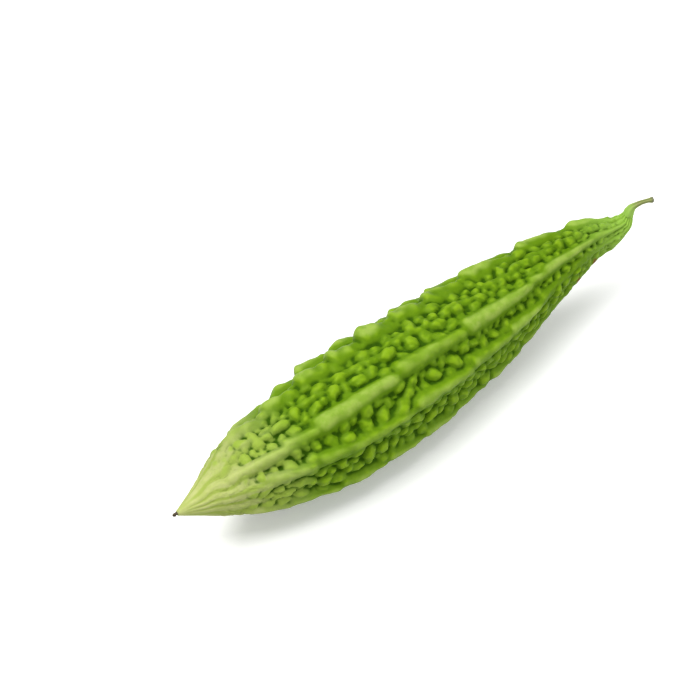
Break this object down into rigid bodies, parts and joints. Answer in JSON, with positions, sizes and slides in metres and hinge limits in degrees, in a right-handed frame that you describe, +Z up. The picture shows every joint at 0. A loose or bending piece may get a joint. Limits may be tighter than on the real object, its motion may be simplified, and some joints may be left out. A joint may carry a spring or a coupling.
{
  "type": "bitter gourd",
  "caption": "Whole bitter gourd lying on its side: long tapering green fruit with lengthwise ridges, packed warts, a pointed blossom tip and a short cut stem.",
  "frame": {"origin": "on the resting surface, under the middle of the box round the whole gourd", "axes": "+X from the blossom tip towards the stem, +Z up, -Y towards the side that the picture shows below the middle ridge"},
  "size_m": [0.2374, 0.0471, 0.0452],
  "materials": {
    "fruit_skin": "fresh green vegetable skin, softly glossy, paler on the ridges and darker between the warts",
    "stem_green": "matte olive-green stem, greyer at the cut",
    "dry_scrap": "dry, dark brown, matte"
  },
  "bodies": {
    "root": {"fruit": "fruit_skin", "stem": "stem_green", "flower_scrap": "dry_scrap"}
  },
  "joints": []
}
